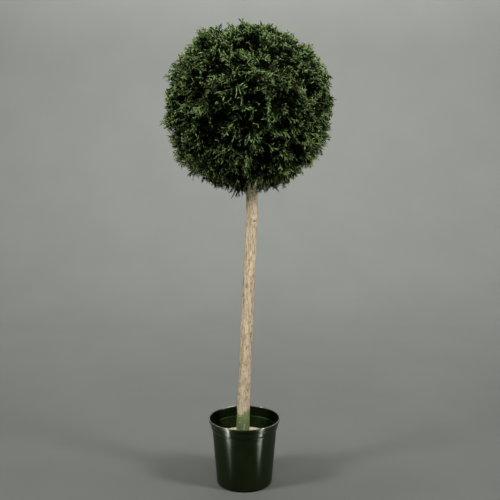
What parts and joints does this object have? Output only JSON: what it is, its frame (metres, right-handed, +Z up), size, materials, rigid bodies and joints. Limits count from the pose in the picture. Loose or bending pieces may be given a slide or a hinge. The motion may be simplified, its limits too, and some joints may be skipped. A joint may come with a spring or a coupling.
{
  "type": "potted artificial thuja ball topiary",
  "caption": "Dense ball of flat thuja sprays on a bare, slightly leaning wooden pole, set in plaster in a round green nursery pot.",
  "frame": {"origin": "on the ground, at the middle of the pot's flat underside", "axes": "+Z up, the front of the picture towards -Y, +X to the right of the picture, where the pole leans"},
  "size_m": [0.5797, 0.5712, 1.638],
  "materials": {
    "pot": "gloss",
    "fill": "matte",
    "wood": "matte",
    "foliage": "matte"
  },
  "bodies": {
    "root": {"pot": "pot", "pot_fill": "fill", "trunk": "wood", "foliage_ball": "foliage"}
  },
  "joints": []
}
